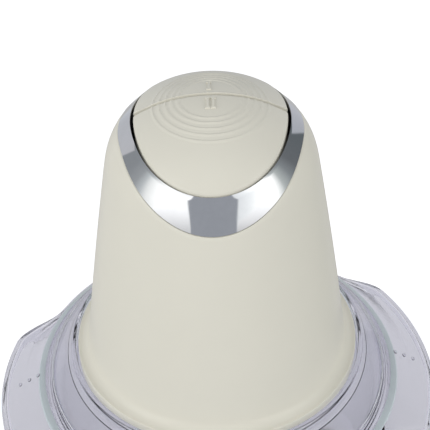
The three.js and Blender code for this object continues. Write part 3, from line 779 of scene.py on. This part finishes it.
def makeGland():
    r = back["glandRadius"] - 0.3
    corners = [(2.2, 44.5, 0.3), (r, 44.5, 0.2), (r, 52.5, 0), (r + 1.5, 52.5, 0.2), (r + 1.5, 54.0, 0.5),
               (r + 0.4, 54.6, 0.3), (r + 0.4, 55.2, 0.2), (r + 0.9, 55.6, 0.2), (r + 0.7, 56.4, 0.2),
               (r - 0.3, 56.8, 0.2), (r - 0.3, 57.3, 0.2), (r, 57.7, 0.2), (r - 0.6, 59.0, 0.4),
               (3.0, 59.0, 0.3), (2.2, 58.2, 0.2)]
    lift = Matrix.Translation((0, 0, flangeTop + back["glandHeight"]))
    turn = Matrix.Rotation(-math.pi / 2, 4, "X")
    makePiece("cord_entry", moved(lathe(corners, 64), lift @ turn), "motor_unit", ["cord_gland"],
              "black_plastic", 40)


makeHousing()
makeRing()
makeButtons()
makeGland()
print("motor unit made")


# ---- lid and bowl ----

lid = {
    "foot": nodeBox("lid")[0].z, "radius": nodeBox("lid")[1].y, "reach": nodeBox("lid")[1].x,
    "wall": 2.5, "floor": 103.0, "hole": 11.0, "collar": 56.1, "collarWall": 2.1,
    "collarTop": nodeBox("lid")[1].z, "rim": 91.0, "rimRadius": 73.8, "spigotFoot": 83.1,
    "turn": math.radians(9), "earHalf": math.radians(39), "earBlend": math.radians(14),
    "earDrop": 4.3, "earSag": 1.2, "earBend": 0.55, "earStep": 2.9,
    "dots": (73.0, 76.8, 80.7), "dotTurn": math.radians(3), "dotSize": 0.85,
}


def earAt(angle):
    away = abs(math.asin(math.sin(angle - lid["turn"])))
    return smoothStep((lid["earHalf"] - away) / lid["earBlend"])


def lidSection(angle):
    ear = earAt(angle)
    foot, wall, collar, floor = lid["foot"], lid["wall"], lid["collar"], lid["floor"]
    rim, rimRadius, spigot = lid["rim"], lid["rimRadius"], lid["spigotFoot"]
    reach = mixed(lid["radius"], lid["reach"], ear)
    earTop = rim - lid["earStep"] - lid["earDrop"] * ear
    sag = lid["earSag"] * ear
    bend = lid["earBend"]
    under = (rimRadius - 1.2, rim - 0.8)
    edge, earUnder = (reach - 0.5, earTop), (reach - wall, earTop - 2.4)
    outside, top = collar + lid["collarWall"], lid["collarTop"]
    corners = [
        (reach, foot, 0.8), (reach, earTop - 1.2, 2.2),
        (mixed(rimRadius, edge[0], bend), mixed(rim, edge[1], bend) - sag, 3.0),
        (rimRadius, rim, 2.5), (66.5, 96.6, 3.0), (59.7, 105.3, 2.0), (outside + 0.1, top - 0.9, 0.6),
        (outside - 0.3, top, 0.5), (collar, top, 0.8),
        (collar, floor, 1.0), (lid["hole"], floor, 0.6), (lid["hole"], floor - 2.6, 0.6),
        (outside, floor - 2.6, 1.2), (outside, 102.6, 1.5), (66.2, 94.2, 1.2), (66.2, spigot, 0.6),
        (68.4, spigot, 0.6), (68.4, under[1], 0.8), (under[0] - 0.4, under[1], 0.5),
        (mixed(under[0], earUnder[0], bend), mixed(under[1], earUnder[1], bend) - sag, 2.0),
        (earUnder[0], earUnder[1], 1.4), (reach - wall, foot, 0.8),
    ]
    return rounded(corners, True, 4)


def earSurface(radius):
    along = (radius - lid["rimRadius"]) / (lid["reach"] - 0.5 - lid["rimRadius"])
    sag = lid["earSag"] * (1 - abs(along - lid["earBend"]) / lid["earBend"])
    return lid["rim"] - (lid["earStep"] + lid["earDrop"]) * along - max(0.0, sag)


def dotShape(radius, angle):
    rows = []
    size = lid["dotSize"]
    height = earSurface(radius)
    for i in range(1, 10):
        turn = math.pi * i / 10
        row = []
        for j in range(20):
            around = 2 * math.pi * j / 20
            away = radius + size * math.sin(turn) * math.cos(around)
            across = size * math.sin(turn) * math.sin(around)
            row.append((away * math.cos(angle) - across * math.sin(angle),
                        away * math.sin(angle) + across * math.cos(angle),
                        height - size * math.cos(turn) - size * 0.35))
        rows.append(row)
    return loft(rows)


def makeLid():
    makePiece("lid_clear", sweep(lidSection, 288), "lid", ["lid"], "clear_plastic", 60)
    for side, name in ((0, "right"), (math.pi, "left")):
        for i, radius in enumerate(lid["dots"]):
            makePiece(f"grip_dot_{name}_{i + 1}", dotShape(radius, side + lid["dotTurn"]), "lid", [],
                      "clear_plastic", 60)
    low, high = nodeBox("lid_seal")
    corners = [(68.9, low.z, 0.3), (high.x, low.z, 0.3), (high.x, low.z + 0.6, 0.2),
               (high.x - 0.4, low.z + 0.9, 0.2), (high.x, low.z + 1.2, 0.2), (high.x - 0.2, high.z, 0.3),
               (68.9, high.z, 0.3)]
    makePiece("lid_seal_ring", lathe(corners, 160), "lid", ["lid_seal"], "seal_rubber", 50)


bowl = {"foot": nodeBox("bowl")[0].z, "footRadius": 62.0, "radius": nodeBox("bowl")[1].x,
        "top": nodeBox("bowl")[1].z, "wall": 2.6, "floor": 7.3}


def makeBowl():
    foot, radius, top, wall = bowl["foot"], bowl["radius"], bowl["top"], bowl["wall"]
    floor, heel = bowl["floor"], bowl["footRadius"]
    corners = [
        (0, foot, 0), (heel, foot, 2.0), (heel, 10, 3.0), (65.0, 16.5, 5.0), (66.6, 20.5, 4.0),
        (radius, top - 4.5, 3.0), (radius, top, 0.9), (radius - wall, top, 0.9),
        (radius - wall, top - 4.5, 3.0),
        (66.5 - wall, 20, 5.0), (58.0, 9.6, 7.0), (49.0, floor, 5.0), (12.5, floor, 1.5),
        (9.0, floor + 2.0, 1.5), (7.5, 22.0, 0.6), (3.3, 22.0, 0.4), (3.3, 10, 0), (0, 10, 0),
    ]
    makePiece("bowl_clear", lathe(corners, 224, 8), "bowl", ["bowl"], "clear_plastic", 60)
    low, high = nodeBox("spindle_pin")
    pin = [(0, low.z, 0), (3.0, low.z, 0.3), (3.0, high.z - 1.2, 0.3), (2.2, high.z, 0.5), (0, high.z, 0)]
    makePiece("spindle", lathe(pin, 48), "bowl", ["spindle_pin"], "steel", 40)
    reach, rimTop = nodeBox("anti_slip_base")[1].x, nodeBox("anti_slip_base")[1].z
    base = [(0, 0, 0), (reach - 1.0, 0, 0.6), (reach, 1.2, 0.8), (reach, 3.0, 0.4),
            (reach - 0.5, 3.6, 0.4), (reach, 4.2, 0.4), (reach, rimTop, 0.8), (reach - 2.0, rimTop, 0.7),
            (reach - 2.0, 4.0, 0.3), (0, 4.0, 0)]
    makePiece("base_pad", lathe(base, 192), "bowl", ["anti_slip_base"], "base_rubber", 45)


makeLid()
makeBowl()
print("lid and bowl made")


# ---- blade unit, and the socket that drives it ----

def hexagon(reach, height):
    turns = [math.pi / 3 * i for i in range(6)]
    return [(reach * math.cos(turn), reach * math.sin(turn), height) for turn in turns]


blade = {"thickness": 1.2, "root": 9.0, "bevel": 3.2, "steps": 40}


def bladeShape(foot, reach, rise, turn):
    rows = []
    steps = blade["steps"]
    for i in range(steps + 1):
        t = i / steps
        along = mixed(blade["root"], reach, t)
        back = -7.0 * (1 - t) ** 1.2 + 2.0 * t - 4.5 * math.sin(math.pi * t)
        front = mixed(8.5, 2.2, t ** 1.3) + 1.2 * math.sin(math.pi * t)
        if t > 0.9:
            front = mixed(front, back + 0.4, (t - 0.9) / 0.1)
        if 0.2 < t < 0.92:  # a shallow saw edge
            front -= 0.35 * abs(math.sin(14 * math.pi * t))
        bevel = min(blade["bevel"], (front - back) * 0.6)
        low = foot + rise * smoothStep((t - 0.12) / 0.7)
        high = low + blade["thickness"]
        rows.append([(back, along, low), (front - 0.05, along, low), (front, along, low + 0.12),
                     (front - bevel, along, high), (back + 0.2, along, high), (back, along, high - 0.2)])
    wing = loft(rows)
    thick = blade["thickness"]
    collar = lathe([(8.8, foot, 0.1), (12.0, foot, 0.2), (12.0, foot + thick, 0.2),
                    (8.8, foot + thick, 0.1)], 64)
    return moved(together(wing, collar), Matrix.Rotation(turn, 4, "Z"))


def makeBlades():
    lowerFoot = nodeBox("blade_lower")[0].z
    upperFoot = nodeBox("blade_upper")[0].z
    makePiece("blade_low", bladeShape(lowerFoot, 56, -1.2, 0), "blade_unit", ["blade_lower"], "steel", 25)
    makePiece("blade_high", bladeShape(upperFoot, 54, 3.0, math.pi), "blade_unit", ["blade_upper"],
              "steel", 25)
    low, high = nodeBox("blade_hub")
    foot, top = low.z, high.z
    core = lathe([
        (0, 48, 0), (3.35, 48, 0), (3.35, foot, 0.3), (8.5, foot, 0.5), (8.5, lowerFoot - 0.3, 0.2),
        (8.3, lowerFoot, 0), (8.3, lowerFoot + 1.4, 0), (8.5, lowerFoot + 1.6, 0.2),
        (8.5, upperFoot - 0.3, 0.2),
        (8.3, upperFoot, 0), (8.3, upperFoot + 1.4, 0), (8.5, upperFoot + 1.6, 0.2), (8.5, 70, 0.4),
        (7.6, 71, 0.4), (7.6, 92, 0.4), (8.5, 93, 0.4), (8.5, 95.5, 0.5), (7.0, 98, 0.6), (0, 98, 0)], 96)
    drive = loft([hexagon(5.4, 97.0), hexagon(5.4, top - 1.0), hexagon(4.6, top)])
    rib = loft([[(7.2, -0.6, h), (8.5, -0.5, h), (8.5, 0.5, h), (7.2, 0.6, h)] for h in (71.0, 92.5)])
    ribs = [moved(rib, Matrix.Rotation(math.pi / 3 * i, 4, "Z")) for i in range(6)]
    makePiece("blade_shaft", together(core, drive, *ribs), "blade_unit", ["blade_hub"],
              "white_plastic", 35)


def makeCoupling():
    low, high = nodeBox("drive_coupling")
    foot = low.z
    body = lathe([(0, foot, 0), (high.x - 1.2, foot, 0), (high.x, foot + 1.2, 0.4),
                  (high.x, high.z, 0.3), (0, high.z, 0)], 64)
    socket = loft([hexagon(7.0, foot - 1), hexagon(6.6, foot), hexagon(5.9, foot + 0.9),
                   hexagon(5.9, foot + 3.8)])
    makePiece("drive_socket", body, "carrier", ["drive_coupling"], "black_plastic", 35, [socket])


makeBlades()
makeCoupling()
print("blade unit made")


# ---- floor, light and camera ----

studio = {
    "floorRadius": 0.9, "floorColor": (0.7, 0.7, 0.71), "floorGlow": 0.6, "aim": (0, 0, 0.12),
    "lamps": {
        "softboxLeft": {"place": (-1.6, -0.9, 0.8), "size": (1.0, 1.2), "power": 15.0},
        "softboxRight": {"place": (1.6, -0.8, 0.7), "size": (0.8, 1.2), "power": 10.8},
    },
}


def makeFloor():
    mesh = bpy.data.meshes.new("floor")
    bm = bmesh.new()
    bmesh.ops.create_circle(bm, cap_ends=True, segments=96, radius=studio["floorRadius"])
    bm.to_mesh(mesh)
    bm.free()
    floor = bpy.data.objects.new("floor", mesh)
    floor.location = (0, 0, cadBox[0].z - 0.0005)
    scene.collection.objects.link(floor)
    material, tree, shader = newMaterial("paleFloor")
    shader.inputs["Base Color"].default_value = (*studio["floorColor"], 1)
    shader.inputs["Roughness"].default_value = 0.9
    shader.inputs["Emission Color"].default_value = (1, 1, 1, 1)
    seen = addNode(tree, "ShaderNodeLightPath")
    tree.links.new(mathNode(tree, "MULTIPLY", seen.outputs["Is Camera Ray"], studio["floorGlow"]),
                   shader.inputs["Emission Strength"])
    mesh.materials.append(material)
    floor.visible_glossy = False  # the chrome mirrors the room all the way down


# the room, by direction: degrees from straight ahead, left of it negative
frontPanel = (0.33, 0.345, 0.375)
windowLight = (1.3, 1.3, 1.27)
room = {
    "stops": [
        (-180, (0.56, 0.58, 0.62)), (-150, (0.56, 0.58, 0.62)), (-143, (0.51, 0.52, 0.55)),
        (-121, (0.54, 0.54, 0.56)), (-120, (0.27, 0.285, 0.3)), (-100, (0.28, 0.295, 0.31)),
        (-78, (0.36, 0.375, 0.385)), (-68, (0.56, 0.59, 0.6)), (-61.5, (0.95, 0.96, 0.94)),
        (-51, windowLight), (-25.1, windowLight), (-24.7, frontPanel), (24, frontPanel),
        (24.5, (0.86, 0.88, 0.89)),
        (36, (1.05, 1.07, 1.07)), (43, windowLight), (58.5, windowLight), (67, (0.5, 0.53, 0.52)),
        (82, (0.25, 0.27, 0.28)), (100, (0.15, 0.16, 0.17)), (134, (0.125, 0.14, 0.15)),
        (135, (0.44, 0.455, 0.49)), (146, (0.51, 0.52, 0.56)), (180, (0.56, 0.58, 0.62)),
    ],
    "ceiling": (0.54, 0.55, 0.57), "ceilingFrom": 0.5, "ceilingTo": 0.75,
    "behindClear": (0.82, 0.82, 0.86),  # what the clear parts let through
    # how far the panels' edges lean at each height, so that they stand upright in the ring
    "lean": 1.04, "bend": 2.71, "bendStart": 0.49, "bendTop": 0.3,
    "dimFrom": 1.25, "dimSlope": 2.4, "dimLeast": 0.5,  # the windows grow dimmer towards the floor
}


def makeRoom():
    world = bpy.data.worlds.new("studio")
    scene.world = world
    world.use_nodes = True
    tree = world.node_tree
    shader = tree.nodes["Background"]
    place = addNode(tree, "ShaderNodeTexCoord")
    split = addNode(tree, "ShaderNodeSeparateXYZ")
    tree.links.new(place.outputs["Generated"], split.inputs[0])
    low = mathNode(tree, "MINIMUM", split.outputs["Z"], room["bendTop"])
    bend = mathNode(tree, "MULTIPLY_ADD", low, room["bend"], room["bendStart"])
    straight = mathNode(tree, "MULTIPLY_ADD", split.outputs["Z"], room["lean"], 1.0)
    leaning = mathNode(tree, "MULTIPLY_ADD", bend, low, straight)
    ahead = mathNode(tree, "MULTIPLY", split.outputs["Y"], -1.0)
    forward = mathNode(tree, "MULTIPLY", leaning, ahead)
    azimuth = mathNode(tree, "ARCTAN2", split.outputs["X"], forward)
    share = mathNode(tree, "MULTIPLY_ADD", azimuth, 0.5 / math.pi, 0.5)
    ramp = addNode(tree, "ShaderNodeValToRGB")
    stops = ramp.color_ramp.elements
    for i, (degrees, color) in enumerate(room["stops"]):
        position = degrees / 360 + 0.5
        stop = stops[i] if i < 2 else stops.new(position)
        stop.position = position
        stop.color = (*color, 1)
    tree.links.new(share, ramp.inputs["Fac"])
    fading = mathNode(tree, "MULTIPLY_ADD", split.outputs["Z"], room["dimSlope"], room["dimFrom"])
    most = mathNode(tree, "MAXIMUM", fading, room["dimLeast"])
    lit = addNode(tree, "ShaderNodeMix", data_type="RGBA", blend_type="DARKEN")
    lit.inputs["Factor"].default_value = 1
    tree.links.new(ramp.outputs["Color"], lit.inputs["A"])
    tree.links.new(most, lit.inputs["B"])
    ceiling = addNode(tree, "ShaderNodeMapRange")
    ceiling.inputs["From Min"].default_value = room["ceilingFrom"]
    ceiling.inputs["From Max"].default_value = room["ceilingTo"]
    tree.links.new(split.outputs["Z"], ceiling.inputs["Value"])
    walls = blended(tree, ceiling.outputs[0], lit.outputs["Result"], room["ceiling"])
    seen = addNode(tree, "ShaderNodeLightPath")
    through = blended(tree, seen.outputs["Transmission Depth"], walls, room["behindClear"])
    backdrop = blended(tree, seen.outputs["Is Camera Ray"], through, (1, 1, 1))
    tree.links.new(backdrop, shader.inputs["Color"])


def makeLamp(name, values):
    light = bpy.data.lights.new(name, "AREA")
    light.shape = "RECTANGLE"
    light.size, light.size_y = values["size"]
    light.energy = values["power"]
    lamp = bpy.data.objects.new(name, light)
    lamp.location = values["place"]
    toAim = Vector(studio["aim"]) - Vector(values["place"])
    lamp.rotation_euler = toAim.to_track_quat("-Z", "Y").to_euler()
    lamp.visible_glossy = False
    lamp.visible_transmission = False
    lamp.visible_camera = False
    scene.collection.objects.link(lamp)


view = {"azimuth": 0.0, "elevation": 40.66, "roll": -1.58, "distance": 0.4929, "lens": 111.7,
        "aim": (0.0006, 0.0, 0.7597)}  # the last one is a share of the object's height


def makeCamera():
    camera = bpy.data.objects.new("camera", bpy.data.cameras.new("camera"))
    camera.data.lens = view["lens"]
    camera.data.sensor_width = 36.0
    camera.data.clip_start = 0.01
    a, e = math.radians(view["azimuth"]), math.radians(view["elevation"])
    aimX, aimY, aimShare = view["aim"]
    aim = Vector((aimX, aimY, mixed(cadBox[0].z, cadBox[1].z, aimShare)))
    away = Vector((math.sin(a) * math.cos(e), -math.cos(a) * math.cos(e), math.sin(e)))
    look = (-away).to_track_quat("-Z", "Y").to_matrix().to_4x4()
    roll = Matrix.Rotation(math.radians(view["roll"]), 4, "Z")
    camera.matrix_world = Matrix.Translation(aim + away * view["distance"]) @ look @ roll
    scene.collection.objects.link(camera)
    scene.camera = camera


makeFloor()
makeRoom()
for lampName, lampValues in studio["lamps"].items():
    makeLamp(lampName, lampValues)
makeCamera()
print("stage set")

bpy.context.view_layer.update()
